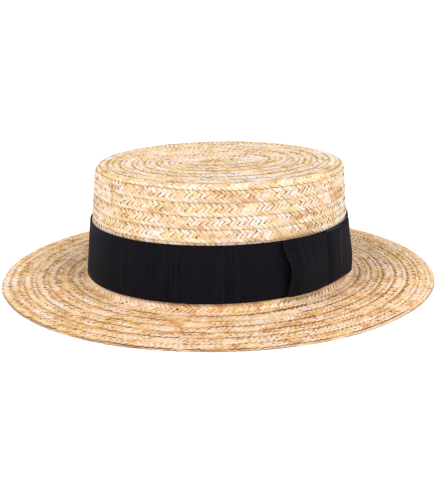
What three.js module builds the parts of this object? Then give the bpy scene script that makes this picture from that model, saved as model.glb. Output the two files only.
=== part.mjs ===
// A straw boater: a stiff oval hat of sewn straw braid with a ribbon band and a flat bow.
// Millimetres, +Z up. The hat stands on the edge of its brim, so z = 0 is the surface under it.
// The front of the hat looks along -Y and +X is the wearer's left. The origin is the middle of the footprint.

import * as THREE from "three";

// Head opening and straw wall
const HEAD_WIDTH = 165;
const HEAD_LENGTH = 199.4;
const STRAW_WALL = 2.2;
const SEAT_GAP = 0.3; // clearance between pieces that touch
const SEGMENTS = 64; // flats round the oval

// Rows of braid, each tucked under the edge of the row before it
const ROW_PITCH = 9.1;
const ROW_STEP = 0.6; // how far a row's edge stands above the next row
const ROW_LIP = 0.4; // slant of that step
const CENTRE_ROW = 4; // half the width of the straight row in the middle of the tip

// Brim
const BRIM_WIDTH = 64;
const BRIM_ROWS = 7;
const BRIM_WALL = 1.9;
const BRIM_EDGE_WALL = 2.5; // the outer row is doubled
const BRIM_LAND = 9; // flat ring under the brim's edge that the hat stands on
const BRIM_LIFT = 0.3; // height of the underside inside that ring
const BRIM_EDGE_ROUND = 0.5;

// Crown
const CROWN_HEIGHT = 82;
const CROWN_INSET = 7.5; // how far the side leans in over that height
const SHOULDER_RADIUS = 6.5;
const SHOULDER_STEPS = 4;
const COVE_HEIGHT = 4.5; // the curved foot between the band and the brim
const COVE_REACH = 3.6;
const COVE_LIP = 0.6; // thickness of the foot's outer edge
const COVE_STEPS = 4;

// Ribbon band
const BAND_WIDTH = 41;
const BAND_WALL = 1.1;

// Bow, placed by its turn from +X towards +Y
const BOW_TURN = THREE.MathUtils.degToRad(42.5);
const BOW_WALL = 0.6;
const BOW_WAIST = 1.6; // height of the flattened loops under the knot
const BOW_PINCH = 0.09; // share of their width that the loops lose under the knot
const LOOP_STEPS = 6;
const FOLD_STEPS = 6;
const LOOP_END_GAP = 0.4; // half the space between the two loops' ends
const KNOT_HALF_WIDTH_FOOT = 8.5;
const KNOT_HALF_WIDTH_TOP = 12;
const KNOT_WALL = 0.7;
const KNOT_LIFT = 2.6;
const KNOT_BULGE = 0.6;
const KNOT_EDGE = 0.4; // how far the knot stays inside the band's two edges
const KNOT_STEPS = 6;

// The fold of each loop: how far up the band, how far from the bow's middle, how far off the band
const FRONT_FOLD = [
  { rise: 0.0, reach: 44.7, puff: 3.8 },
  { rise: 0.15, reach: 45.1, puff: 4.3 },
  { rise: 0.35, reach: 43.9, puff: 4.9 },
  { rise: 0.5, reach: 43.4, puff: 4.9 },
  { rise: 0.7, reach: 46.0, puff: 4.0 },
  { rise: 1.0, reach: 50.2, puff: 2.6 },
];
const REAR_FOLD = [
  { rise: 0.0, reach: 30, puff: 2.0 },
  { rise: 0.3, reach: 33, puff: 2.4 },
  { rise: 0.5, reach: 32.5, puff: 2.2 },
  { rise: 0.75, reach: 31, puff: 1.8 },
  { rise: 1.0, reach: 30, puff: 1.6 },
];

// Sizes that follow from the ones above
const HALF_WIDTH = HEAD_WIDTH / 2 + STRAW_WALL;
const HALF_LENGTH = HEAD_LENGTH / 2 + STRAW_WALL;
const BRIM_TOP = BRIM_LIFT + BRIM_WALL;
const BRIM_PITCH = BRIM_WIDTH / BRIM_ROWS;
const BAND_FOOT = BRIM_TOP + COVE_HEIGHT;
const CROWN_FOOT = BRIM_TOP - ROW_STEP + SEAT_GAP;
const CROWN_TOP = BAND_FOOT + CROWN_HEIGHT;
const SIDE_LEAN = Math.atan(CROWN_INSET / CROWN_HEIGHT);
const SHOULDER_HEIGHT = CROWN_TOP - SHOULDER_RADIUS;
const SHOULDER_OFFSET =
  sideOffset(SHOULDER_HEIGHT + SHOULDER_RADIUS * Math.sin(SIDE_LEAN)) - SHOULDER_RADIUS * Math.cos(SIDE_LEAN);
const TIP_REACH = HALF_WIDTH + SHOULDER_OFFSET;
const SHOULDER_LENGTH = SHOULDER_RADIUS * (Math.PI / 2 - SIDE_LEAN);
const BOW_CURVE = Math.hypot(HALF_WIDTH * Math.sin(BOW_TURN), HALF_LENGTH * Math.cos(BOW_TURN));

// A point on an oval that lies a given offset outside the crown's foot, at a given height
function ovalPoint(turn, offset, height) {
  const x = (HALF_WIDTH + offset) * Math.cos(turn);
  const y = (HALF_LENGTH + offset) * Math.sin(turn);
  return new THREE.Vector3(x, y, height);
}

function ovalRing({ offset, height }) {
  return Array.from({ length: SEGMENTS }, (_, i) => ovalPoint((2 * Math.PI * i) / SEGMENTS, offset, height));
}

// The offset of the crown's outer side at a given height
function sideOffset(height) {
  return -(height - BAND_FOOT) * Math.tan(SIDE_LEAN);
}

// A closed geometry from points and triangles
function solid(points, triangles) {
  const geometry = new THREE.BufferGeometry().setFromPoints(points);
  geometry.setIndex(triangles);
  geometry.computeVertexNormals();
  return geometry;
}

// The two triangles between neighbouring points of two neighbouring rings
function quad(a, b, c, d) {
  return [a, b, c, a, c, d];
}

// A wall round the oval: its section runs from station to station and closes on itself
function ovalLoop(section) {
  const points = section.flatMap(ovalRing);
  const triangles = section.flatMap((_, row) => {
    const here = row * SEGMENTS;
    const next = ((row + 1) % section.length) * SEGMENTS;
    return bridge(here, next, SEGMENTS);
  });
  return solid(points, triangles);
}

// A wall round the oval whose section starts and ends on the axis, at the two hub heights
function ovalDome(firstHub, section, lastHub) {
  const points = section.flatMap(ovalRing);
  const first = points.push(new THREE.Vector3(0, 0, firstHub)) - 1;
  const last = points.push(new THREE.Vector3(0, 0, lastHub)) - 1;
  const triangles = [];
  for (let row = 0; row + 1 < section.length; row++) {
    triangles.push(...bridge(row * SEGMENTS, (row + 1) * SEGMENTS, SEGMENTS));
  }
  const end = (section.length - 1) * SEGMENTS;
  for (let i = 0; i < SEGMENTS; i++) {
    const j = (i + 1) % SEGMENTS;
    triangles.push(first, j, i);
    triangles.push(last, end + i, end + j);
  }
  return solid(points, triangles);
}

// The flats between two closed rings of points, given by their first numbers
function bridge(here, next, count) {
  const triangles = [];
  for (let i = 0; i < count; i++) {
    const j = (i + 1) % count;
    triangles.push(...quad(here + i, here + j, next + j, next + i));
  }
  return triangles;
}

// A strip of ribbon lofted through sections, each an outer and an inner path of paired points
function foldedStrip(sections) {
  const count = sections[0].outer.length;
  const ring = 2 * count;
  const points = sections.flatMap(({ outer, inner }) => [...outer, ...inner.toReversed()]);
  const triangles = [];
  for (let row = 0; row + 1 < sections.length; row++) {
    triangles.push(...bridge(row * ring, (row + 1) * ring, ring));
  }
  const end = (sections.length - 1) * ring;
  for (let i = 0; i + 1 < count; i++) {
    const a = ring - 1 - i;
    triangles.push(...quad(i, a, a - 1, i + 1));
    triangles.push(...quad(end + i, end + i + 1, end + a - 1, end + a));
  }
  return solid(points, triangles);
}

// The crown's outer face, followed outwards from the middle of the tip, sunk below it by a given depth
function crownStation(distance, depth) {
  if (distance <= TIP_REACH) {
    return { offset: distance - HALF_WIDTH, height: CROWN_TOP - depth };
  }
  const bend = Math.min((distance - TIP_REACH) / SHOULDER_RADIUS, Math.PI / 2 - SIDE_LEAN);
  const below = Math.max(0, distance - TIP_REACH - SHOULDER_LENGTH);
  const radius = SHOULDER_RADIUS - depth;
  return {
    offset: SHOULDER_OFFSET + radius * Math.sin(bend) + below * Math.sin(SIDE_LEAN),
    height: SHOULDER_HEIGHT + radius * Math.cos(bend) - below * Math.cos(SIDE_LEAN),
  };
}

// How deep the face lies at a given distance, rising over each row to the row's edge
function rowDepth(distance) {
  const share = (distance - CENTRE_ROW) / ROW_PITCH;
  return ROW_STEP * (Math.ceil(share) - share);
}

// Crown: rows on the tip and on the side down to the band, plain under the band and inside, flared at the foot
function crown() {
  const sideLength = (SHOULDER_HEIGHT - BAND_FOOT - BAND_WIDTH) / Math.cos(SIDE_LEAN);
  const lastRow = TIP_REACH + SHOULDER_LENGTH + sideLength;
  const outer = [{ distance: CENTRE_ROW, depth: 0 }];
  for (let edge = CENTRE_ROW; edge < lastRow; edge += ROW_PITCH) {
    outer.push({ distance: edge + ROW_LIP, depth: ROW_STEP });
    outer.push({ distance: edge + ROW_PITCH, depth: 0 });
  }
  for (let i = 0; i <= SHOULDER_STEPS; i++) {
    const distance = TIP_REACH + (SHOULDER_LENGTH * i) / SHOULDER_STEPS;
    outer.push({ distance, depth: rowDepth(distance) });
  }
  outer.sort((a, b) => a.distance - b.distance);

  const inner = [];
  for (let i = 0; i <= SHOULDER_STEPS; i++) {
    inner.push(crownStation(TIP_REACH + (SHOULDER_LENGTH * i) / SHOULDER_STEPS, STRAW_WALL));
  }
  inner.push({ offset: sideOffset(CROWN_FOOT) - STRAW_WALL, height: CROWN_FOOT });

  const face = outer.map(({ distance, depth }) => crownStation(distance, depth));
  const coveEnd = CROWN_FOOT + COVE_LIP;
  for (let i = 0; i <= COVE_STEPS; i++) {
    const bend = (Math.PI / 2) * (i / COVE_STEPS);
    const height = BAND_FOOT - (BAND_FOOT - coveEnd) * Math.sin(bend);
    face.push({ offset: COVE_REACH * (1 - Math.cos(bend)), height });
  }
  face.push({ offset: COVE_REACH, height: CROWN_FOOT });
  return ovalDome(CROWN_TOP - STRAW_WALL, [...inner, ...face.reverse()], CROWN_TOP);
}

// Brim: a seat under the crown, flat rows out to the rounded edge, a land to stand on and a plain underside
function brim() {
  const section = [
    { offset: -STRAW_WALL, height: BRIM_LIFT },
    { offset: BRIM_WIDTH - BRIM_LAND - BRIM_LIFT, height: BRIM_LIFT },
    { offset: BRIM_WIDTH - BRIM_LAND, height: 0 },
    { offset: BRIM_WIDTH - BRIM_EDGE_ROUND, height: 0 },
    { offset: BRIM_WIDTH, height: BRIM_EDGE_ROUND },
    { offset: BRIM_WIDTH, height: BRIM_EDGE_WALL - BRIM_EDGE_ROUND },
    { offset: BRIM_WIDTH - BRIM_EDGE_ROUND, height: BRIM_EDGE_WALL },
  ];
  for (let row = BRIM_ROWS - 1; row > 0; row--) {
    const edge = row * BRIM_PITCH;
    section.push({ offset: edge + ROW_LIP, height: BRIM_TOP - ROW_STEP });
    section.push({ offset: edge, height: BRIM_TOP });
  }
  section.push({ offset: COVE_REACH + SEAT_GAP, height: BRIM_TOP - ROW_STEP });
  section.push({ offset: -STRAW_WALL, height: BRIM_TOP - ROW_STEP });
  return ovalLoop(section);
}

// Ribbon band: a plain sleeve round the foot of the crown
function hatBand() {
  const top = BAND_FOOT + BAND_WIDTH;
  return ovalLoop([
    { offset: sideOffset(BAND_FOOT) + SEAT_GAP, height: BAND_FOOT },
    { offset: sideOffset(BAND_FOOT) + SEAT_GAP + BAND_WALL, height: BAND_FOOT },
    { offset: sideOffset(top) + SEAT_GAP + BAND_WALL, height: top },
    { offset: sideOffset(top) + SEAT_GAP, height: top },
  ]);
}

// A point over the band: along it from the bow's middle, up its width (0 to 1) and off its face
function overBand(along, rise, lift) {
  const height = BAND_FOOT + rise * BAND_WIDTH;
  const offset = sideOffset(height) + SEAT_GAP + BAND_WALL + SEAT_GAP + lift;
  return ovalPoint(BOW_TURN + along / BOW_CURVE, offset, height);
}

// How wide a loop is, as a share of the band, at a given distance from the bow's middle
function loopWidth(along) {
  const open = THREE.MathUtils.smoothstep(along, KNOT_HALF_WIDTH_TOP, 2 * KNOT_HALF_WIDTH_TOP);
  return 1 - BOW_PINCH * (1 - open);
}

// One loop: an outer layer from the knot to the fold, the round fold and an inner layer back on the band
function loopSection({ rise, reach, puff }, side) {
  const outer = [];
  const inner = [];
  const foldCentre = reach - puff / 2;
  const place = (along, lift) => overBand(side * along, 0.5 + (rise - 0.5) * loopWidth(along), lift);
  const pair = (along, outerLift, innerLift) => {
    outer.push(place(along, outerLift));
    inner.push(place(along, innerLift));
  };
  for (let i = 0; i < LOOP_STEPS; i++) {
    const share = i / LOOP_STEPS;
    const lift = BOW_WAIST + (puff - BOW_WAIST) * THREE.MathUtils.smoothstep(share, 0.2, 1);
    pair(THREE.MathUtils.lerp(LOOP_END_GAP, foldCentre, share), lift, lift - BOW_WALL);
  }
  for (let i = 0; i <= FOLD_STEPS; i++) {
    const bend = Math.PI * (0.5 - i / FOLD_STEPS);
    const radius = puff / 2;
    outer.push(place(foldCentre + radius * Math.cos(bend), radius + radius * Math.sin(bend)));
    const hollow = radius - BOW_WALL;
    inner.push(place(foldCentre + hollow * Math.cos(bend), radius + hollow * Math.sin(bend)));
  }
  for (let i = LOOP_STEPS - 1; i >= 0; i--) {
    pair(THREE.MathUtils.lerp(LOOP_END_GAP, foldCentre, i / LOOP_STEPS), 0, BOW_WALL);
  }
  return { outer, inner };
}

function bowLoop(fold, side) {
  const sections = fold.map((row) => loopSection(row, side));
  return foldedStrip(side > 0 ? sections : sections.reverse());
}

// Knot: a bent strip over both loops, with its two ends turned in to the band above and below them
function bowKnot() {
  const foot = KNOT_EDGE / BAND_WIDTH;
  const wall = KNOT_WALL / BAND_WIDTH;
  const sections = [];
  for (let i = 0; i <= KNOT_STEPS; i++) {
    const across = 1 - (2 * i) / KNOT_STEPS;
    const place = (rise, lift) => {
      const halfWidth = THREE.MathUtils.lerp(KNOT_HALF_WIDTH_FOOT, KNOT_HALF_WIDTH_TOP, rise);
      return overBand(across * halfWidth, rise, lift);
    };
    const outer = [place(foot, 0)];
    const inner = [place(foot + wall, 0)];
    for (let j = 0; j <= KNOT_STEPS; j++) {
      const share = j / KNOT_STEPS;
      const lift = KNOT_LIFT + KNOT_BULGE * Math.sin(Math.PI * share) * (1 - across * across);
      outer.push(place(THREE.MathUtils.lerp(foot, 1 - foot, share), lift));
      inner.push(place(THREE.MathUtils.lerp(foot + wall, 1 - foot - wall, share), lift - KNOT_WALL));
    }
    outer.push(place(1 - foot, 0));
    inner.push(place(1 - foot - wall, 0));
    sections.push({ outer, inner });
  }
  return foldedStrip(sections);
}

const straw = new THREE.MeshStandardMaterial({ color: 0xe6c795, roughness: 0.6, metalness: 0 });
const ribbon = new THREE.MeshStandardMaterial({ color: 0x1c1b20, roughness: 0.75, metalness: 0 });

const PIECES = [
  { name: "crown", geometry: crown(), material: straw },
  { name: "brim", geometry: brim(), material: straw },
  { name: "hat_band", geometry: hatBand(), material: ribbon },
  { name: "bow_front_loop", geometry: bowLoop(FRONT_FOLD, -1), material: ribbon },
  { name: "bow_rear_loop", geometry: bowLoop(REAR_FOLD, 1), material: ribbon },
  { name: "bow_knot", geometry: bowKnot(), material: ribbon },
];

const hat = new THREE.Group();
for (const { name, geometry, material } of PIECES) {
  const mesh = new THREE.Mesh(geometry, material.clone());
  mesh.name = name;
  hat.add(mesh);
}

export default hat;
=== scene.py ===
"""Looks for a straw boater: rows of plaited straw, a ribbed ribbon band and its flat bow."""

import math

import bpy
import numpy as np
from mathutils import Matrix, Vector


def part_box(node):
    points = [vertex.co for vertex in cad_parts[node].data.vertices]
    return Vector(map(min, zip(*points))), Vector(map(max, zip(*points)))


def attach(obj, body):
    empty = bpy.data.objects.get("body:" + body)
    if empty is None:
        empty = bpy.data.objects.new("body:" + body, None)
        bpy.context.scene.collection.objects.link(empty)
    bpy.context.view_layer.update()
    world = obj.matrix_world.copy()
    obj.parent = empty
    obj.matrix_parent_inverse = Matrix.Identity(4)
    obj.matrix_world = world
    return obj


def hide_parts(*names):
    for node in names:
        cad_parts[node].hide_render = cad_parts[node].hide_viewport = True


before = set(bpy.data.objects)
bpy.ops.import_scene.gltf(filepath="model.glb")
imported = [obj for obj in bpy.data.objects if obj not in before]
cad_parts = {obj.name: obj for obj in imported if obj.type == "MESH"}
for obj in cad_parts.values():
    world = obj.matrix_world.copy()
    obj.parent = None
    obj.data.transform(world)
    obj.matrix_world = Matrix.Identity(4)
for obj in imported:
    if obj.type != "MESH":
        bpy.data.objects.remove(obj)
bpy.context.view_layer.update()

# Sizes below are in millimetres, and the meshes are made in metres
MM = 0.001

# The part's driving sizes
HEAD_WIDTH = 165
HEAD_LENGTH = 199.4
STRAW_WALL = 2.2
HALF_WIDTH = HEAD_WIDTH / 2 + STRAW_WALL
HALF_LENGTH = HEAD_LENGTH / 2 + STRAW_WALL
SHOULDER_RADIUS = 6.5
CROWN_INSET = 7.5
BRIM_TOP = 2.2

# Sizes taken from the solids
CROWN_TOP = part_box("crown")[1].z / MM
BAND_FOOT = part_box("hat_band")[0].z / MM
BAND_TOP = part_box("hat_band")[1].z / MM
BAND_WIDTH = BAND_TOP - BAND_FOOT
BRIM_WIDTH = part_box("brim")[1].x / MM - HALF_WIDTH

# The crown's profile
SIDE_LEAN = math.atan(CROWN_INSET / (CROWN_TOP - BAND_FOOT))
SHOULDER_HEIGHT = CROWN_TOP - SHOULDER_RADIUS
SHOULDER_OFFSET = (
    -(SHOULDER_HEIGHT + SHOULDER_RADIUS * math.sin(SIDE_LEAN) - BAND_FOOT) * math.tan(SIDE_LEAN)
    - SHOULDER_RADIUS * math.cos(SIDE_LEAN)
)
TIP_REACH = HALF_WIDTH + SHOULDER_OFFSET
SHOULDER_BEND = math.pi / 2 - SIDE_LEAN
SHOULDER_LENGTH = SHOULDER_RADIUS * SHOULDER_BEND

# The brim's profile: a cove from the crown's wall to the flat
COVE_RADIUS = 4.35
COVE_REACH = 4.6

# Straw braid: a flat plait of seven flattened straws, over two and under two, sewn in rows that overlap
STRANDS = 7
CROSSINGS = [0, -1, 1, 1, -1, -1, 1, 0]  # a straw's way from edge to edge: over (1) or under (-1)
CELL_ENDS = [1.5, 3.5, 5.5]  # where it goes from over to under or back, in crossings
ROW_PITCH = 9.1
PLAIT_WIDTH = 10.0  # between the middles of the straws at the plait's two edges
PLAIT_REPEAT = 3.7  # length of plait from one straw's turn at the edge to the next straw's
STRAW_WIDTH = 2.6
STRAW_THICKNESS = 0.46
WEAVE_LIFT = 0.25  # how far a straw rises over the straw that it crosses
PLAIT_THICKNESS = STRAW_THICKNESS + 2 * WEAVE_LIFT
EDGE_SHARE = 0.42  # share of its width that the straw at an edge counts past its own middle
ROW_EDGE = PLAIT_WIDTH / 2 + EDGE_SHARE * STRAW_WIDTH  # from a row's middle to its edge
STATIONS = 26  # points along a straw, for each time it goes to the other edge and back
EDGE_RUN = 0.06  # share of its length that a straw runs along each edge
TURN_SOFTNESS = 0.2

# A straw's flat section, in shares of its width and thickness
STRAW_SECTION = [
    {"across": -0.5, "up": -0.5},
    {"across": -0.4, "up": 0.5},
    {"across": 0.4, "up": 0.5},
    {"across": 0.5, "up": -0.5},
]

# How straws and rows stray, and the length over which they do
STRAW_UNEVEN = 0.15  # share of its width that a straw gains or loses along it
UNEVEN_LENGTH = 8
WANDER_LENGTH = 7  # of straws that run ahead or behind
STRETCH = 0.7  # how far the plait is drawn out or pushed together along the row
STRETCH_LENGTH = 30
ROW_WANDER = 0.4  # how far a row strays to either side
ROW_WANDER_LENGTH = 0.35  # as the run's guide line is counted: in radians on a spiral
STRAW_ROLL = 0.03  # how much higher a straw lies on the side where it covers its neighbour
ROLL_STEEPNESS = 1.5
FIBRE_OFFSET = 7.3  # sets one straw's fibres apart from the next one's

# Seams: straws pinched narrower, and painted shade where a row comes out from under the one before
TROUGH_SHIFT = 0.15
TROUGH = ROW_EDGE - ROW_PITCH + TROUGH_SHIFT  # where a row comes out from under the one before
TROUGH_WIDTH = 0.6
# Painted shade in the seam's trough, taking most from blue and least from red
PAINTED_TROUGH_SHADE = np.array([0.26, 0.42, 0.66])  # the share of each colour that a full trough takes
SLIT_SHIFT = 0.9
SLIT_PLACE = TROUGH + SLIT_SHIFT  # the middle of the straws that the seam pinches, across the row
SLIT_REACH = 1.5
SEAM_PATCHES = 1.0  # how far the seams' darkness changes from patch to patch, as a share

# The straws' dark edges: partly browner straw, partly painted shade in the creases between straws
OUTLINE = 1.0  # how dark they are, as a share
OUTLINE_PATCHES = 1.1  # how far that changes from patch to patch
OUTLINE_MOST = 1.2

# Patches of straw colour and of painted shade: their length along the plait and their width across it
LONG_PATCH = {"length": 30, "width": 5}
SHORT_PATCH = {"length": 7, "width": 4}
BLUSH_PATCH = {"length": 14, "width": 6}
SEAM_PATCH = {"length": 14, "width": 2 * PLAIT_WIDTH}
OUTLINE_PATCH = {"length": 9, "width": 6}

# How rows lie
# tilt: across the row, as a share of the plait's thickness; press: of the outer edge onto the next row
# trough: how dark the painted seam shade is; slit: the share of their width that straws lose at the seam
# patch: how much the colour varies in short patches; mottle: from straw to straw
# wander: how far straws run ahead or behind, as an angle of their wave
# calm: how much fainter the painted shade at the seams and the straws' edges is where the face is level
CROWN_ROWS = {
    "tilt": 0.85,
    "press": 0.2,
    "trough": 0.34,
    "slit": 0.0,
    "patch": 0.58,
    "mottle": 0.45,
    "wander": 0.28,
    "calm": 0.3,
}
COVE_ROWS = {**CROWN_ROWS, "wander": 0.12, "calm": 0.0}
BRIM_ROWS = {
    "tilt": 0.75,
    "press": 0.05,
    "trough": 0.8,
    "slit": 0.24,
    "patch": 0.76,
    "mottle": 0.55,
    "wander": 0.28,
    "calm": 0.0,
}
FLAT_ROWS = {**CROWN_ROWS, "tilt": 0.0, "press": 0.0, "trough": 0.0, "mottle": 0.25}

# The crown's spiral, from the tip's middle to under the ribbon, over a short strip at its start
CENTRE_ROW = 6.2  # how far from the middle the spiral's outer edge would be, traced back to a turn of 0
CROWN_START = math.radians(90)
CROWN_END_HEIGHT = 6
CROWN_TUCK = 1.6  # depth of the spiral's first end, in thicknesses of the plait
CROWN_TUCK_TURN = 1.2  # radians of turn in which it comes up
CENTRE_STRIP = 25  # half the strip's length
STRIP_DEPTH = 1.5  # of the strip's top, in thicknesses of the plait
CROWN_PIECES = [
    {"name": "tip_braid", "start": 0.0, "end": 0.31},
    {"name": "upper_side_braid", "start": 0.31, "end": 0.65},
    {"name": "lower_side_braid", "start": 0.65, "end": 1.0},
]

# The brim's spiral, counted in turns from a cut end beside the bow, with a row up the cove before it
BRIM_START = math.radians(20)
BRIM_FIRST_EDGE = 9.1
BRIM_TURNS = 6.95
BRIM_EVEN_TURNS = 5.2  # after these the rows close up towards the edge
BRIM_PROUD = 0.6  # how far the straw at the edge stands past the solid
CUT_END_TURNS = 0.08  # in which the cut end comes down off the row under it
COVE_START = -1.9
COVE_END = 0.12
COVE_TUCK = 1.1  # depth of the cove row's first end, in thicknesses of the plait
COVE_TUCK_START = -0.9  # where it begins to come up
COVE_TUCK_END = -0.5
BRIM_PIECES = [
    {"name": "inner_brim_braid", "start": 0.0, "end": 0.5},
    {"name": "outer_brim_braid", "start": 0.5, "end": 1.0},
]

# The second layer under the brim's edge
SECOND_LAYER = 1.6  # depth of its middle
SECOND_TURNS = 1.02
SECOND_INSET = 0.3

# Points on the guide lines
CROWN_POINTS = 6000
STRIP_POINTS = 200
COVE_POINTS = 900
BRIM_POINTS = 5000
SECOND_POINTS = 800
OVAL_POINTS = 4001

# Seeds of what differs from straw to straw and from rib to rib
CROWN_SEED = 11
STRIP_SEED = 13
COVE_SEED = 23
BRIM_SEED = 37
SECOND_SEED = 41
BAND_SEED = 51
LOOP_SEED = 53
KNOT_SEED = 59

# Ribbon
RIB_PITCH = 1.35
RIB_DEPTH = 0.1
RIB_STATIONS = 4  # points for each rib
RIB_SHADES = 0.5  # how far ribs differ in shade from one another, where most
RIB_STRETCH = 14  # ribs in a stretch where they differ more or less
RIBBON_GAP = 0.35
RIBBON_WALL = 0.6

# The band's rows of points: how far up its width, and the share of the ribs' depth there
BAND_LEVELS = [
    {"rise": 0.0, "relief": 0.0},
    {"rise": 0.012, "relief": 1.0},
    {"rise": 0.03, "relief": 0.5},
    {"rise": 0.2, "relief": 1.0},
    {"rise": 0.4, "relief": 1.0},
    {"rise": 0.6, "relief": 1.0},
    {"rise": 0.8, "relief": 1.0},
    {"rise": 0.97, "relief": 0.5},
    {"rise": 0.988, "relief": 1.0},
    {"rise": 1.0, "relief": 0.0},
]

# Bow, placed by its turn from +X towards +Y
BOW_TURN = math.radians(42.5)
BOW_CURVE = math.hypot(  # length along the band for a radian of turn there
    HALF_WIDTH * math.sin(BOW_TURN),
    HALF_LENGTH * math.cos(BOW_TURN),
)
BOW_WALL = 0.5
BOW_WAIST = 1.2  # how far the loops' upper side stands off the band under the knot
BOW_PINCH = 0.05  # share of their width that the loops lose there
BOW_OFFSET = 1.5  # from the crown's wall to the back of the bow
BOW_RAISE = 0.4  # how far the ribbon rides up the band, as a share of how far it stands off it
LOOP_END_GAP = 0.4
FOLD_DEPTH = 2.0  # across the bend at the end of a loop
TOP_SWELL = 0.2  # share of its length after which a loop's upper side rises
LOW_SWELL = 0.3  # the same for its lower side
LOOP_LEVELS = 25
LOOP_POINTS = 40
BEND_POINTS = 25

# The fold of each loop: how far up the band, how far from the bow's middle, how far off the band
FRONT_FOLD = [
    {"rise": 0.0, "reach": 48.2, "puff": 4.8},
    {"rise": 0.16, "reach": 48.3, "puff": 5.6},
    {"rise": 0.31, "reach": 47.4, "puff": 6.6},
    {"rise": 0.46, "reach": 46.9, "puff": 6.8},
    {"rise": 0.62, "reach": 47.8, "puff": 5.9},
    {"rise": 0.79, "reach": 49.9, "puff": 4.4},
    {"rise": 1.0, "reach": 51.1, "puff": 2.8},
]
REAR_FOLD = [
    {"rise": 0.0, "reach": 30.0, "puff": 2.0},
    {"rise": 0.3, "reach": 33.0, "puff": 2.4},
    {"rise": 0.5, "reach": 32.5, "puff": 2.0},
    {"rise": 0.75, "reach": 31.0, "puff": 1.5},
    {"rise": 1.0, "reach": 30.0, "puff": 1.3},
]

# The bow's knot
KNOT_HALF_WIDTH_FOOT = 8.5
KNOT_HALF_WIDTH_TOP = 12
KNOT_LIFT = 2.2
KNOT_BULGE = 0.6
KNOT_EDGE = 0.4  # from the band's edge to the knot's
KNOT_TURN_IN = 0.06  # share of its length in which it turns in to the band at each end
KNOT_SINK = 0.15  # how far its two sides sink into the loops
KNOT_FRONT_TURN = 4  # how sharply its front side turns down to them, as a power
KNOT_REAR_TURN = 2
KNOT_THINNING = 0.7  # share of its wall that the knot loses at its two sides
KNOT_THIN_TURN = 8  # how close to the sides that is, as a power
KNOT_LEVELS = 21

# Straw colours, linear, from the ripest patches of the braid to the palest
STRAW_RAMP = [
    {"at": -0.9, "colour": (0.62, 0.34, 0.13)},
    {"at": -0.35, "colour": (0.78, 0.51, 0.25)},
    {"at": 0.1, "colour": (0.84, 0.61, 0.37)},
    {"at": 0.45, "colour": (0.87, 0.68, 0.48)},
    {"at": 0.8, "colour": (0.845, 0.715, 0.585)},
]
LONG_PATCHES = 0.35  # how much the colour varies in long patches
BLUSH = 0.12  # how far the straw wanders between yellow and pink, in patches
STRAW_BLUSH = 0.5  # the share of that by which straws differ
BLUSH_GREEN = 0.15  # the share of it that green loses
CROWN_TINT = (0.895, 0.945, 1.06)
BRIM_TINT = (0.935, 0.89, 0.872)
# The straws' edges: partly their own browner colour, partly painted shade in the creases
EDGE_TINT = (0.2, 0.105, 0.048, 1)  # what a straw's edges are darkened by

# Other colours, linear
RIBBON_RAMP = [
    {"at": 0.2, "colour": (0.0012, 0.0011, 0.0026, 1)},
    {"at": 0.8, "colour": (0.0056, 0.0052, 0.0086, 1)},
]
FLOOR_RAMP = [
    {"at": 0.0, "colour": (0.93, 0.93, 0.93, 1)},
    {"at": 1.0, "colour": (0.95, 0.95, 0.95, 1)},
]

# Values on the materials' nodes, by the names of their inputs, where lengths are in metres
# The dark edge begins between two shares of a straw's half width, and fibres are a little darker or paler
# The dark edge is partly the straw's browner colour, partly painted crease shade
STRAW_EDGE = {"From Min": 0.68, "From Max": 0.9}
FIBRE_SCALE = (7.5, 0.22, 1.0)  # of the fibres across a straw, along it and from straw to straw
STRAW_GRAIN = {"Scale": 1, "Detail": 3}
STRAW_SHADES = {"From Min": 0.3, "From Max": 0.7, "To Min": 0.86, "To Max": 1.08}
STRAW_BUMP = {"Strength": 0.35, "Distance": 0.0001}
STRAW_GLOSS = {"Roughness": 0.55, "Specular IOR Level": 0.35}
RIBBON_WEAVE = {"Scale": 900, "Detail": 2}
RIBBON_BUMP = {"Strength": 0.3, "Distance": 0.0001}
RIBBON_GLOSS = {
    "Roughness": 0.75,
    "Specular IOR Level": 0.07,
    "Sheen Weight": 0.16,
    "Sheen Tint": (0.86, 0.82, 1.0, 1),
    "Sheen Roughness": 0.35,
}
FLOOR_CLOUDS = {"Scale": 0.7}
FLOOR_GLOSS = {"Roughness": 0.9, "Specular IOR Level": 0.1}

# Camera and floor
CAMERA_TURN = math.radians(73.87)
CAMERA_RISE = math.radians(18.09)
CAMERA_ROLL = math.radians(0.19)
CAMERA_DISTANCE = 678.1
CAMERA_TARGET_SIDE = -2.3
CAMERA_TARGET_HEIGHT = 19.35
CAMERA_CLIP = 100000
IMAGE_HEIGHT = 495
FOCAL_PIXELS = 874.6
SENSOR = 36
FLOOR_HALF = 60000

# Light: surroundings that fade from the horizon to the ceiling, and distant lights with angles in degrees
HORIZON_TOP = 0.2
HORIZON_LIGHT = 1.0
CEILING_FOOT = 0.4
CEILING_LIGHT = 0.39
WHITE = (1, 1, 1, 1)
LIGHT_DISTANCE = 3000
LIGHTS = [
    {"name": "left", "turn": 16, "rise": 46, "spread": 30, "strength": 0.64},
    {"name": "right", "turn": 135, "rise": 54, "spread": 28, "strength": 0.58},
    {"name": "front", "turn": 106, "rise": 20, "spread": 30, "strength": 0.2},
]


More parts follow.
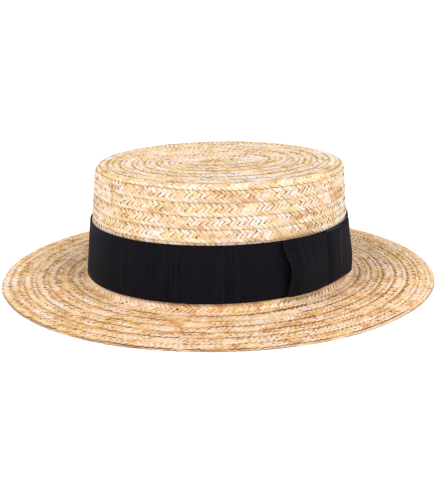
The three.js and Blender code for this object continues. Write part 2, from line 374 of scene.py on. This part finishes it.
# Meshes and attributes
def make_piece(name, points, quads, material, node):
    """A smooth mesh in place of a node, from arrays of points, in millimetres, and of quads."""
    mesh = bpy.data.meshes.new(name)
    mesh.vertices.add(len(points))
    mesh.vertices.foreach_set("co", (points * MM).astype(np.float32).ravel())
    mesh.loops.add(quads.size)
    mesh.loops.foreach_set("vertex_index", quads.astype(np.int32).ravel())
    mesh.polygons.add(len(quads))
    mesh.polygons.foreach_set("loop_start", np.arange(0, quads.size, quads.shape[1], dtype=np.int32))
    mesh.polygons.foreach_set("use_smooth", np.ones(len(quads), bool))
    mesh.update(calc_edges=True)
    mesh.validate()
    piece = bpy.data.objects.new(name, mesh)
    bpy.context.scene.collection.objects.link(piece)
    mesh.materials.append(material)
    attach(piece, "root")
    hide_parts(node)
    return piece


def mark_sharp(piece, step):
    """Marks as sharp the edges whose two vertices are a number of steps apart in the list."""
    ends = np.zeros(2 * len(piece.data.edges), np.int32)
    piece.data.edges.foreach_get("vertices", ends)
    sharp = np.abs(ends[1::2] - ends[::2]) == step
    piece.data.attributes.new("sharp_edge", "BOOLEAN", "EDGE").data.foreach_set("value", sharp)


def keep_for_points(piece, name, kind, field, values):
    """Keeps a value, colour or vector for each vertex, which the materials read by its name."""
    attribute = piece.data.attributes.new(name, kind, "POINT")
    attribute.data.foreach_set(field, values.astype(np.float32).ravel())


# Curves and soft random values
def unit(vectors):
    return vectors / np.linalg.norm(vectors, axis=-1, keepdims=True)


def run_length(line):
    """The length along a line of points, from its start to each of them."""
    steps = np.linalg.norm(np.diff(line, axis=-2), axis=-1)
    return np.concatenate([np.zeros((*steps.shape[:-1], 1)), np.cumsum(steps, axis=-1)], -1)


def smoothstep(value, low, high):
    share = np.clip((value - low) / (high - low), 0, 1)
    return share * share * (3 - 2 * share)


def soft_clip(value):
    """The value held between -1 and 1, with soft corners."""
    past = np.clip(np.abs(value) - (1 - TURN_SOFTNESS), 0, 2 * TURN_SOFTNESS)
    return np.sign(value) * (np.minimum(np.abs(value), 1 + TURN_SOFTNESS) - past**2 / (4 * TURN_SOFTNESS))


def smooth_column(at, places, values):
    """A smooth curve through a short table's column."""
    values = np.asarray(values, float)
    slopes = np.gradient(values, places)
    cell = np.clip(np.searchsorted(places, at, "right") - 1, 0, len(places) - 2)
    span = places[cell + 1] - places[cell]
    share = (at - places[cell]) / span
    rest = 1 - share
    return (
        values[cell] * (1 + 2 * share) * rest**2
        + values[cell + 1] * (3 - 2 * share) * share**2
        + span * (slopes[cell] * share * rest**2 - slopes[cell + 1] * share**2 * rest)
    )


def soft_noise(rng, at, spacing):
    """Smooth random values from -1 to 1 along a line, with one free value for each spacing."""
    count = int(np.ptp(at) / spacing) + 4
    values = rng.uniform(-1, 1, count)
    place = (at - at.min()) / spacing
    cell = place.astype(int)
    share = smoothstep(place - cell, 0, 1)
    return values[cell] * (1 - share) + values[cell + 1] * share


def strand_noise(rng, at, spacing):
    """Smooth random values along each straw of a plait."""
    return np.stack([soft_noise(rng, at, spacing) for _ in range(STRANDS)])


def patches(rng, along, across, length, width):
    """Smooth random values from -1 to 1 over a braid, in patches of a length and width."""
    down = (across + PLAIT_WIDTH) / width
    right = along / length
    grid = rng.uniform(-1, 1, (int(2 * PLAIT_WIDTH / width) + 2, int(along.max() / length) + 2))
    row = down.astype(int)
    column = right.astype(int)
    row_share = smoothstep(down - row, 0, 1)
    column_share = smoothstep(right - column, 0, 1)
    near = grid[row, column] * (1 - column_share) + grid[row, column + 1] * column_share
    far = grid[row + 1, column] * (1 - column_share) + grid[row + 1, column + 1] * column_share
    return near * (1 - row_share) + far * row_share


# The oval and the faces that carry the rows
def oval_face(turn, offset, height, lean):
    """Points on an oval an offset outside the crown's foot, with normals.

    The normals lean from straight up (0) to straight outward (a quarter turn).
    """
    across = np.cos(turn)
    along = np.sin(turn)
    points = np.stack([(HALF_WIDTH + offset) * across, (HALF_LENGTH + offset) * along, height], -1)
    outward = unit(np.stack([(HALF_LENGTH + offset) * across, (HALF_WIDTH + offset) * along], -1))
    normals = np.concatenate([outward * np.sin(lean)[..., None], np.cos(lean)[..., None]], -1)
    return points, normals


def crown_face(turn, distance):
    """The crown's face, followed outwards from the tip's middle, over the shoulder and down the side."""
    bend = np.clip((distance - TIP_REACH) / SHOULDER_RADIUS, 0, SHOULDER_BEND)
    below = np.maximum(0, distance - TIP_REACH - SHOULDER_LENGTH)
    offset = np.minimum(distance, TIP_REACH) - HALF_WIDTH
    offset = offset + SHOULDER_RADIUS * np.sin(bend) + below * math.sin(SIDE_LEAN)
    height = SHOULDER_HEIGHT + SHOULDER_RADIUS * np.cos(bend) - below * math.cos(SIDE_LEAN)
    return oval_face(turn, offset, height, bend)


def centre_face(place, distance):
    """The flat middle of the tip, by the place along the hat and the distance to the side."""
    points = np.stack([-distance, place, np.full_like(place, CROWN_TOP)], -1)
    normals = np.broadcast_to(np.array([0.0, 0.0, 1.0]), points.shape)
    return points, normals


def brim_face(turn, distance):
    """The brim's upper face, by its distance from the crown, with the cove up the crown's wall in it."""
    bend = np.clip((COVE_REACH - distance) / COVE_RADIUS, 0, SHOULDER_BEND)
    above = np.maximum(0, COVE_REACH - COVE_RADIUS * SHOULDER_BEND - distance)
    offset = np.maximum(distance, COVE_REACH) - COVE_RADIUS * np.sin(bend) - above * math.sin(SIDE_LEAN)
    height = BRIM_TOP + COVE_RADIUS * (1 - np.cos(bend)) + above * math.cos(SIDE_LEAN)
    return oval_face(turn, offset, height, bend)


# Straw braid
def plait_wave(phase):
    """Where a straw is across the plait (-0.5 to 0.5), and how far over or under the others (-1 to 1).

    The third value is the number of its cell, the stretch in which it stays over or under.
    """
    zigzag = np.arcsin(np.sin(phase)) * 2 / np.pi
    across = soft_clip(zigzag / (1 - 2 * EDGE_RUN)) / 2
    outward = np.cos(phase) > 0
    share = np.where(outward, across + 0.5, 0.5 - across) * STRANDS
    over = np.sin(np.pi / 2 * np.interp(share, range(STRANDS + 1), CROSSINGS))
    way = np.floor(phase / np.pi + 0.5).astype(int)
    return across, over, way * len(CELL_ENDS) + np.searchsorted(CELL_ENDS, share)


def cell_means(cell, values):
    """The mean of a value over each cell of each straw."""
    most = cell.max() + 1
    count = np.maximum(1, [np.bincount(own, minlength=most) for own in cell])
    return np.stack([np.bincount(own, value, most) for own, value in zip(cell, values)]) / count


def straw_colours(rng, along, across, cell, rows, shown):
    """Straw colours of a run: one for each cell, in ripe and pale patches, with painted shade at the
    seams.
    """
    middle = cell_means(cell, along)
    side = cell_means(cell, across)
    ripeness = LONG_PATCHES * patches(rng, middle, side, **LONG_PATCH)
    ripeness = ripeness + rows["patch"] * patches(rng, middle, side, **SHORT_PATCH)
    ripeness = ripeness + rows["mottle"] * rng.uniform(-1, 1, middle.shape)
    blush = patches(rng, middle, side, **BLUSH_PATCH)
    blush = BLUSH * (blush + STRAW_BLUSH * rng.uniform(-1, 1, middle.shape))
    places = [row["at"] for row in STRAW_RAMP]
    channels = [np.interp(ripeness, places, [row["colour"][c] for row in STRAW_RAMP]) for c in range(3)]
    colours = np.stack(channels, -1)
    colours = colours * np.stack([np.ones_like(blush), 1 - BLUSH_GREEN * blush, 1 + blush], -1)
    colours = np.stack([own[number] for own, number in zip(colours, cell)])
    # Painted shade: the straw is darkened where a row comes out from under the one before, more in some
    # patches
    seam_shade = shown * (1 + SEAM_PATCHES * patches(rng, along, across, **SEAM_PATCH))
    depth = seam_shade * rows["trough"] * np.exp(-(((across - TROUGH) / TROUGH_WIDTH) ** 2))
    return colours * (1 - PAINTED_TROUGH_SHADE * depth[..., None])


def straw_corners(path, normals, width, roll):
    """The corners of the flat sections along the straws, which lie on a face with these normals."""
    forward = unit(np.gradient(path, axis=1))
    sideways = unit(np.cross(normals, forward))
    upward = np.cross(forward, sideways)
    corners = []
    for corner in STRAW_SECTION:
        out = width * corner["across"]
        up = STRAW_THICKNESS * corner["up"] + roll * corner["across"]
        corners.append(path + sideways * out[..., None] + upward * up[..., None])
    return np.stack(corners, 2)


def straw_fibres(path, seed):
    """Coordinates for the fibres: across the straw (-1 to 1), along it, and one value for each straw."""
    along = run_length(path)
    own = np.broadcast_to(np.arange(STRANDS)[:, None] * FIBRE_OFFSET + seed, along.shape)
    fibres = [
        np.stack([np.full(along.shape, 2 * corner["across"]), along, own], -1)
        for corner in STRAW_SECTION
    ]
    return np.stack(fibres, 2)


def braid_run(face, turns, edge, lift, seed, rows):
    """The straws of one run of braid, laid on a face with its outer edge at the distances in edge.

    Returns points (straw, station, corner of the section, 3), and colours and fibres in that layout.
    """
    rng = np.random.default_rng(seed)
    middle = edge - ROW_EDGE + ROW_WANDER * soft_noise(rng, np.abs(turns - turns[0]), ROW_WANDER_LENGTH)
    line, _ = face(turns, middle)
    travelled = run_length(line)
    repeat = PLAIT_REPEAT * STRANDS
    number = np.arange(int(travelled[-1] / repeat * STATIONS))
    base = number * repeat / STATIONS
    base = np.clip(base + STRETCH * soft_noise(rng, base, STRETCH_LENGTH), 0, travelled[-1])
    phase = 2 * np.pi * (number / STATIONS + np.arange(STRANDS)[:, None] / STRANDS)
    phase = phase + rows["wander"] * strand_noise(rng, base, WANDER_LENGTH)
    across, over, cell = plait_wave(phase)
    side = across * PLAIT_WIDTH
    along = np.broadcast_to(base, side.shape)
    turn = np.interp(along, travelled, turns)
    distance = np.interp(along, travelled, middle) + side
    points, normals = face(turn, distance)

    tilt = rows["tilt"] * PLAIT_THICKNESS * (side - ROW_EDGE) / ROW_PITCH - PLAIT_THICKNESS / 2
    press = rows["press"] * smoothstep(side, PLAIT_WIDTH / 4, PLAIT_WIDTH / 2)
    rise = tilt - press + over * WEAVE_LIFT + np.interp(along, travelled, lift)
    path = points + normals * rise[..., None]
    width = STRAW_WIDTH * (1 + STRAW_UNEVEN * strand_noise(rng, base, UNEVEN_LENGTH))
    width = width * (1 - rows["slit"] * np.exp(-(((side - SLIT_PLACE) / SLIT_REACH) ** 2)))
    roll = -STRAW_ROLL * np.clip(ROLL_STEEPNESS * np.cos(phase), -1, 1)

    # The painted shade at the seams and the straws' edges is fainter where the face looks up
    shown = 1 - rows["calm"] * normals[..., 2]
    colours = straw_colours(rng, along, side, cell, rows, shown)
    # How dark the straws' edges are: partly browner straw, partly painted crease shade, changing in
    # patches
    outline = OUTLINE + OUTLINE_PATCHES * patches(rng, along, side, **OUTLINE_PATCH)
    outline = shown * np.clip(outline, 0, OUTLINE_MOST)
    colours = np.concatenate([colours, outline[..., None]], -1)
    colours = np.repeat(colours[:, :, None], len(STRAW_SECTION), 2)
    return straw_corners(path, normals, width, roll), colours, straw_fibres(path, seed)


def braid_piece(name, run, material, slot, node, start=0.0, end=1.0):
    """A piece of braid from a share of a run's stations, each straw a closed tube."""
    last = run[0].shape[1] - 1
    picked = slice(int(start * last), int(end * last) + 1)
    points, colours, fibres = [values[:, picked] for values in run]
    straws, stations, corners, _ = points.shape
    number = np.arange(straws * stations * corners).reshape(straws, stations, corners)
    ahead = np.roll(number, -1, axis=2)
    walls = np.stack([number[:, :-1], ahead[:, :-1], ahead[:, 1:], number[:, 1:]], -1)
    start_caps = number[:, 0, ::-1]
    end_caps = number[:, -1]
    quads = np.concatenate([walls.reshape(-1, 4), start_caps, end_caps])
    piece = make_piece(name, points.reshape(-1, 3), quads, material, node)
    mark_sharp(piece, corners)
    keep_for_points(piece, "straw_colour", "FLOAT_COLOR", "color", colours)
    keep_for_points(piece, "straw_fibre", "FLOAT_VECTOR", "vector", fibres)


def crown_braid(material):
    """The crown's spiral, from the tip's middle to under the ribbon, and the strip under its start."""
    side_length = (SHOULDER_HEIGHT - CROWN_END_HEIGHT) / math.cos(SIDE_LEAN)
    end_distance = TIP_REACH + SHOULDER_LENGTH + side_length
    end = 2 * np.pi * (end_distance - CENTRE_ROW) / ROW_PITCH
    turns = np.linspace(CROWN_START, end, CROWN_POINTS)
    edge = CENTRE_ROW + ROW_PITCH * turns / (2 * np.pi)
    tuck = -CROWN_TUCK * PLAIT_THICKNESS * smoothstep(turns - CROWN_START, CROWN_TUCK_TURN, 0)
    spiral = braid_run(crown_face, turns, edge, tuck, CROWN_SEED, CROWN_ROWS)

    strip = np.linspace(-CENTRE_STRIP, CENTRE_STRIP, STRIP_POINTS)
    strip_edge = np.full(len(strip), ROW_EDGE)
    depth = np.full(len(strip), -STRIP_DEPTH * PLAIT_THICKNESS)
    centre = braid_run(centre_face, strip, strip_edge, depth, STRIP_SEED, FLAT_ROWS)
    braid_piece("tip_centre_braid", centre, material, "straw_crown", "crown")
    for part in CROWN_PIECES:
        braid_piece(run=spiral, material=material, slot="straw_crown", node="crown", **part)


def brim_turn(count):
    """The turn from +X after a number of turns of the brim's spiral, which runs the other way."""
    return BRIM_START - 2 * np.pi * count


def brim_braid(material):
    """The brim's rows: the row up the cove, the spiral, and the second layer at the edge."""
    under = np.linspace(COVE_START, COVE_END, COVE_POINTS)
    under_edge = BRIM_FIRST_EDGE + ROW_PITCH * under
    tuck = -COVE_TUCK * PLAIT_THICKNESS * smoothstep(under, COVE_TUCK_END, COVE_TUCK_START)
    cove = braid_run(brim_face, brim_turn(under), under_edge, tuck, COVE_SEED, COVE_ROWS)
    braid_piece("cove_braid", cove, material, "straw_brim", "brim")

    count = np.linspace(0, BRIM_TURNS, BRIM_POINTS)
    pitch = ROW_PITCH * (1 - smoothstep(count, BRIM_EVEN_TURNS, BRIM_TURNS))
    growth = np.concatenate([[0], np.cumsum(pitch[1:] * np.diff(count))])
    reach = BRIM_WIDTH + BRIM_PROUD - BRIM_FIRST_EDGE
    edge = BRIM_FIRST_EDGE + growth * reach / growth[-1]
    lift = PLAIT_THICKNESS * smoothstep(count, CUT_END_TURNS, 0)
    spiral = braid_run(brim_face, brim_turn(count), edge, lift, BRIM_SEED, BRIM_ROWS)
    for part in BRIM_PIECES:
        braid_piece(run=spiral, material=material, slot="straw_brim", node="brim", **part)

    rim = np.linspace(0, SECOND_TURNS, SECOND_POINTS)
    rim_edge = np.full(len(rim), BRIM_WIDTH + BRIM_PROUD - SECOND_INSET)
    rim_lift = np.full(len(rim), PLAIT_THICKNESS / 2 - SECOND_LAYER)
    second = braid_run(brim_face, brim_turn(rim), rim_edge, rim_lift, SECOND_SEED, FLAT_ROWS)
    braid_piece("brim_edge_braid", second, material, "straw_brim", "brim")


# Ribbon
def wall_offset(height):
    """The offset of the crown's side at a height."""
    return -(height - BAND_FOOT) * math.tan(SIDE_LEAN)


def rib_relief(count):
    """The height of the ribs at each point along a ribbon."""
    return RIB_DEPTH * np.cos(2 * np.pi * np.arange(count) / RIB_STATIONS)


def rib_shades(along, across, seed):
    """A shade for each point of a ribbon: each rib has its own, a little uneven across the ribbon."""
    rng = np.random.default_rng(seed)
    ribs = math.ceil(along / RIB_STATIONS)
    own = rng.uniform(-1, 1, (ribs, across))
    uneven = RIB_SHADES * (1 + soft_noise(rng, np.arange(ribs), RIB_STRETCH)) / 2
    rib = (np.arange(along) + RIB_STATIONS // 2) // RIB_STATIONS % ribs
    return (uneven[:, None] * (own[:, :1] + own) / 2)[rib]


def ribbon_piece(name, front, back, closed, seed, material, node):
    """A strip of ribbon from two grids of points (along, across, 3): its face and its back."""
    along, across, _ = front.shape
    points = np.concatenate([front.reshape(-1, 3), back.reshape(-1, 3)])
    face = np.arange(along * across).reshape(along, across)
    rear = face + along * across
    if closed:
        face = np.concatenate([face, face[:1]])
        rear = np.concatenate([rear, rear[:1]])

    def between(one, other):
        return np.stack([one[:-1], other[:-1], other[1:], one[1:]], -1).reshape(-1, 4)

    quads = [between(face[:, j + 1], face[:, j]) for j in range(across - 1)]
    quads += [between(rear[:, j], rear[:, j + 1]) for j in range(across - 1)]
    quads += [between(face[:, 0], rear[:, 0]), between(rear[:, -1], face[:, -1])]
    if not closed:
        quads += [between(rear[0], face[0]), between(face[-1], rear[-1])]
    piece = make_piece(name, points, np.concatenate(quads), material, node)
    shades = np.tile(rib_shades(along, across, seed).ravel(), 2)
    keep_for_points(piece, "rib_shade", "FLOAT", "value", shades)
    return piece


def hat_band(material):
    """The band: ribbed ribbon drawn round the foot of the crown."""
    turn = np.linspace(0, 2 * np.pi, OVAL_POINTS)
    level_ground = np.zeros(OVAL_POINTS)
    line, _ = oval_face(turn, level_ground, level_ground, level_ground)
    length = run_length(line)
    count = round(length[-1] / RIB_PITCH) * RIB_STATIONS
    turns = np.interp(np.arange(count) / count * length[-1], length, turn)
    upright = np.full(count, math.pi / 2)
    front = []
    back = []
    for level in BAND_LEVELS:
        height = np.full(count, BAND_FOOT + level["rise"] * BAND_WIDTH)
        inner = wall_offset(height) + RIBBON_GAP
        outer = inner + RIBBON_WALL + rib_relief(count) * level["relief"]
        front.append(oval_face(turns, outer, height, upright)[0])
        back.append(oval_face(turns, inner, height, upright)[0])
    front = np.stack(front, 1)
    back = np.stack(back, 1)
    piece = ribbon_piece("ribbon_band", front, back, True, BAND_SEED, material, "hat_band")


# Bow
def over_band(along, rise, lift):
    """Points over the band: along it from the bow's middle, up its width (0 to 1) and off its face."""
    height = BAND_FOOT + rise * BAND_WIDTH + BOW_RAISE * lift
    offset = wall_offset(height) + BOW_OFFSET + lift
    return oval_face(BOW_TURN + along / BOW_CURVE, offset, height, np.zeros_like(along))[0]


def loop_path(reach, puff):
    """A loop's line from the knot to the fold and back, as distances along the band and lifts off it."""
    bend_radius = min(FOLD_DEPTH, puff) / 2
    fold = reach - bend_radius
    share = np.linspace(0, 1, LOOP_POINTS)
    straight = LOOP_END_GAP + (fold - LOOP_END_GAP) * share
    top_lift = BOW_WAIST + (puff - BOW_WAIST) * smoothstep(share, TOP_SWELL, 1)
    low_lift = (puff - 2 * bend_radius) * smoothstep(share, LOW_SWELL, 1)
    bend = np.linspace(math.pi / 2, -math.pi / 2, BEND_POINTS)[1:-1]
    along = np.concatenate([straight, fold + bend_radius * np.cos(bend), straight[::-1]])
    lift = np.concatenate([top_lift, puff - bend_radius * (1 - np.sin(bend)), low_lift[::-1]])
    return np.stack([along, lift], -1)


def bow_loop(name, fold, side, material, node):
    """One loop of the bow, on its front (-1) or rear (1) side: folded ribbon, gathered under the knot."""
    rises = np.array([row["rise"] for row in fold])
    levels = np.linspace(0, 1, LOOP_LEVELS)
    reaches = smooth_column(levels, rises, [row["reach"] for row in fold])
    puffs = smooth_column(levels, rises, [row["puff"] for row in fold])
    ribbon_length = 2 * reaches.mean()
    count = int(ribbon_length / RIB_PITCH) * RIB_STATIONS
    front = []
    back = []
    for level, reach, puff in zip(levels, reaches, puffs):
        line = loop_path(reach, puff)
        travelled = run_length(line)
        at = np.linspace(0, travelled[-1], count)
        path = np.stack([np.interp(at, travelled, column) for column in line.T], -1)
        slope = np.gradient(path, axis=0)
        outward = unit(np.stack([-slope[:, 1], slope[:, 0]], -1))
        gathered = 1 - smoothstep(path[:, 0], KNOT_HALF_WIDTH_TOP, 2 * KNOT_HALF_WIDTH_TOP)
        rise = 0.5 + (level - 0.5) * (1 - BOW_PINCH * gathered)
        outer = path + rib_relief(count)[:, None] * outward
        inner = path - BOW_WALL * outward
        front.append(over_band(side * outer[:, 0], rise, outer[:, 1]))
        back.append(over_band(side * inner[:, 0], rise, inner[:, 1]))
    front = np.stack(front, 1)
    back = np.stack(back, 1)
    if side > 0:
        # A mirrored loop lists its levels from the top, so that its faces still point out
        front = front[:, ::-1]
        back = back[:, ::-1]
    piece = ribbon_piece(name, front, back, False, LOOP_SEED, material, node)


def bow_knot(material):
    """The knot: a short ribbon over both loops, turned in to the band above and below them."""
    foot = KNOT_EDGE / BAND_WIDTH
    inner_foot = foot + BOW_WALL / BAND_WIDTH
    share = np.linspace(0, 1, KNOT_LEVELS)
    rise = foot + share * (1 - 2 * foot)
    inner_rise = inner_foot + share * (1 - 2 * inner_foot)
    half_width = KNOT_HALF_WIDTH_FOOT + (KNOT_HALF_WIDTH_TOP - KNOT_HALF_WIDTH_FOOT) * rise
    edge = np.clip(np.minimum(share, 1 - share) / KNOT_TURN_IN, 0, 1)
    turned = np.sqrt(1 - (1 - edge) ** 2)
    side_lift = BOW_WAIST - KNOT_SINK
    steps = int(2 * KNOT_HALF_WIDTH_TOP / RIB_PITCH) * RIB_STATIONS
    front = []
    back = []
    for across, relief in zip(np.linspace(1, -1, steps + 1), rib_relief(steps + 1)):
        crown = 1 - abs(across) ** (KNOT_REAR_TURN if across > 0 else KNOT_FRONT_TURN)
        thin = across**KNOT_THIN_TURN
        height = side_lift + (KNOT_LIFT - side_lift) * crown
        lift = (height + KNOT_BULGE * np.sin(np.pi * share) * crown) * turned
        inside = np.maximum(lift - BOW_WALL * (1 - KNOT_THINNING * thin), 0)
        front.append(over_band(across * half_width, rise, lift + relief * (1 - thin)))
        back.append(over_band(across * half_width, inner_rise, inside))
    front = np.stack(front)
    back = np.stack(back)
    piece = ribbon_piece("bow_knot_ribbon", front, back, False, KNOT_SEED, material, "bow_knot")


# Materials
def new_material(name):
    material = bpy.data.materials.new(name)
    material.use_nodes = True
    tree = material.node_tree
    return material, tree, tree.nodes["Principled BSDF"]


def set_inputs(node, values):
    """Sets a node's inputs, by their names or places."""
    for socket, value in values.items():
        node.inputs[socket].default_value = value


def add_node(tree, kind, values=None, **settings):
    """A new node with its settings, and with values on some of its inputs."""
    node = tree.nodes.new("ShaderNode" + kind)
    for name, setting in settings.items():
        setattr(node, name, setting)
    set_inputs(node, values or {})
    return node


def add_ramp(tree, rows):
    """A ramp between two colours."""
    ramp = add_node(tree, "ValToRGB")
    for element, row in zip(ramp.color_ramp.elements, rows):
        element.position = row["at"]
        element.color = row["colour"]
    return ramp


def straw_material(name, tint):
    """Flattened straw: its colour, edges partly painted crease shade, fibres along it and a satin gloss.
    """
    material, tree, shader = new_material(name)
    link = tree.links.new
    colour = add_node(tree, "Attribute", attribute_name="straw_colour")
    fibre = add_node(tree, "Attribute", attribute_name="straw_fibre")

    stretch = add_node(tree, "VectorMath", {1: FIBRE_SCALE}, operation="MULTIPLY")
    grain = add_node(tree, "TexNoise", STRAW_GRAIN)
    shade = add_node(tree, "MapRange", STRAW_SHADES)
    bump = add_node(tree, "Bump", STRAW_BUMP)
    link(fibre.outputs["Vector"], stretch.inputs[0])
    link(stretch.outputs["Vector"], grain.inputs["Vector"])
    link(grain.outputs["Fac"], shade.inputs["Value"])
    link(grain.outputs["Fac"], bump.inputs["Height"])
    link(bump.outputs["Normal"], shader.inputs["Normal"])

    split = add_node(tree, "SeparateXYZ")
    distance = add_node(tree, "Math", operation="ABSOLUTE")
    edge = add_node(tree, "MapRange", STRAW_EDGE, interpolation_type="SMOOTHSTEP")
    outline = add_node(tree, "Math", operation="MULTIPLY")
    link(fibre.outputs["Vector"], split.inputs["Vector"])
    link(split.outputs["X"], distance.inputs[0])
    link(distance.outputs["Value"], edge.inputs["Value"])
    link(edge.outputs["Result"], outline.inputs[0])
    link(colour.outputs["Alpha"], outline.inputs[1])

    tinted = add_node(tree, "VectorMath", {1: tint}, operation="MULTIPLY")
    shaded = add_node(tree, "VectorMath", operation="SCALE")
    # Darkens the straw's edges: partly browner straw, partly painted crease shade
    outlined = add_node(tree, "Mix", {"B": EDGE_TINT}, data_type="RGBA", blend_type="MULTIPLY")
    link(colour.outputs["Color"], tinted.inputs[0])
    link(tinted.outputs["Vector"], shaded.inputs[0])
    link(shade.outputs["Result"], shaded.inputs["Scale"])
    link(shaded.outputs["Vector"], outlined.inputs["A"])
    link(outline.outputs["Value"], outlined.inputs["Factor"])
    link(outlined.outputs["Result"], shader.inputs["Base Color"])
    set_inputs(shader, STRAW_GLOSS)
    return material


def ribbon_material():
    """Black ribbed ribbon: nearly matte, with a faint sheen, uneven ribs and a fine uneven weave."""
    material, tree, shader = new_material("ribbon_weave")
    link = tree.links.new
    place = add_node(tree, "TexCoord")
    weave = add_node(tree, "TexNoise", RIBBON_WEAVE)
    rib = add_node(tree, "Attribute", attribute_name="rib_shade")
    uneven = add_node(tree, "Math", operation="ADD")
    shade = add_ramp(tree, RIBBON_RAMP)
    bump = add_node(tree, "Bump", RIBBON_BUMP)
    link(place.outputs["Object"], weave.inputs["Vector"])
    link(weave.outputs["Fac"], uneven.inputs[0])
    link(rib.outputs["Fac"], uneven.inputs[1])
    link(uneven.outputs["Value"], shade.inputs["Fac"])
    link(shade.outputs["Color"], shader.inputs["Base Color"])
    link(weave.outputs["Fac"], bump.inputs["Height"])
    link(bump.outputs["Normal"], shader.inputs["Normal"])
    set_inputs(shader, RIBBON_GLOSS)
    return material


def floor_material():
    """A pale matte floor, faintly clouded."""
    material, tree, shader = new_material("floor_pale")
    link = tree.links.new
    place = add_node(tree, "TexCoord")
    cloud = add_node(tree, "TexNoise", FLOOR_CLOUDS)
    shade = add_ramp(tree, FLOOR_RAMP)
    link(place.outputs["Object"], cloud.inputs["Vector"])
    link(cloud.outputs["Fac"], shade.inputs["Fac"])
    link(shade.outputs["Color"], shader.inputs["Base Color"])
    set_inputs(shader, FLOOR_GLOSS)
    return material


# Stage
def make_floor():
    half = FLOOR_HALF * MM
    corners = [(-half, -half, 0), (half, -half, 0), (half, half, 0), (-half, half, 0)]
    mesh = bpy.data.meshes.new("floor")
    mesh.from_pydata(corners, [], [(0, 1, 2, 3)])
    mesh.materials.append(floor_material())
    floor = bpy.data.objects.new("floor", mesh)
    bpy.context.scene.collection.objects.link(floor)


def direction(turn, rise):
    """The way to a viewer or light at a turn from the front, towards +X, and a rise."""
    level = math.cos(rise)
    return Vector((math.sin(turn) * level, -math.cos(turn) * level, math.sin(rise)))


def make_camera():
    back = direction(CAMERA_TURN, CAMERA_RISE)
    side = Vector((math.cos(CAMERA_TURN), math.sin(CAMERA_TURN), 0))
    target = side * CAMERA_TARGET_SIDE + Vector((0, 0, CAMERA_TARGET_HEIGHT))
    data = bpy.data.cameras.new("camera")
    data.sensor_width = SENSOR
    data.lens = FOCAL_PIXELS * SENSOR / IMAGE_HEIGHT
    data.clip_end = CAMERA_CLIP * MM
    camera = bpy.data.objects.new("camera", data)
    turned = (-back).to_track_quat("-Z", "Y").to_matrix() @ Matrix.Rotation(CAMERA_ROLL, 3, "Z")
    camera.matrix_world = Matrix.Translation((target + back * CAMERA_DISTANCE) * MM) @ turned.to_4x4()
    bpy.context.scene.collection.objects.link(camera)
    bpy.context.scene.camera = camera


def far_light(name, turn, rise, spread, strength):
    """A distant soft light from a turn and rise, spread over an angle, all in degrees."""
    data = bpy.data.lights.new(name, "SUN")
    data.angle = math.radians(spread)
    data.energy = strength * math.pi
    light = bpy.data.objects.new(name, data)
    back = direction(math.radians(turn), math.radians(rise))
    light.location = back * LIGHT_DISTANCE * MM
    light.rotation_mode = "QUATERNION"
    light.rotation_quaternion = (-back).to_track_quat("-Z", "Y")
    bpy.context.scene.collection.objects.link(light)


def make_lights():
    """White surroundings that are brightest at the horizon, and the distant lights."""
    world = bpy.data.worlds.new("studio")
    world.use_nodes = True
    tree = world.node_tree
    link = tree.links.new
    background = tree.nodes["Background"]
    set_inputs(background, {"Color": WHITE})
    place = add_node(tree, "TexCoord")
    split = add_node(tree, "SeparateXYZ")
    heights = {"From Min": HORIZON_TOP, "From Max": CEILING_FOOT}
    strengths = {"To Min": HORIZON_LIGHT, "To Max": CEILING_LIGHT}
    level = add_node(tree, "MapRange", {**heights, **strengths})
    link(place.outputs["Generated"], split.inputs["Vector"])
    link(split.outputs["Z"], level.inputs["Value"])
    link(level.outputs["Result"], background.inputs["Strength"])
    bpy.context.scene.world = world
    for light in LIGHTS:
        far_light(**light)
    bpy.context.scene.view_settings.view_transform = "Standard"


crown_straw = straw_material("crown_straw", CROWN_TINT)
brim_straw = straw_material("brim_straw", BRIM_TINT)
ribbon = ribbon_material()
crown_braid(crown_straw)
brim_braid(brim_straw)
hat_band(ribbon)
bow_loop("bow_front_ribbon", FRONT_FOLD, -1, ribbon, "bow_front_loop")
bow_loop("bow_rear_ribbon", REAR_FOLD, 1, ribbon, "bow_rear_loop")
bow_knot(ribbon)
make_floor()
make_camera()
make_lights()

bpy.context.view_layer.update()
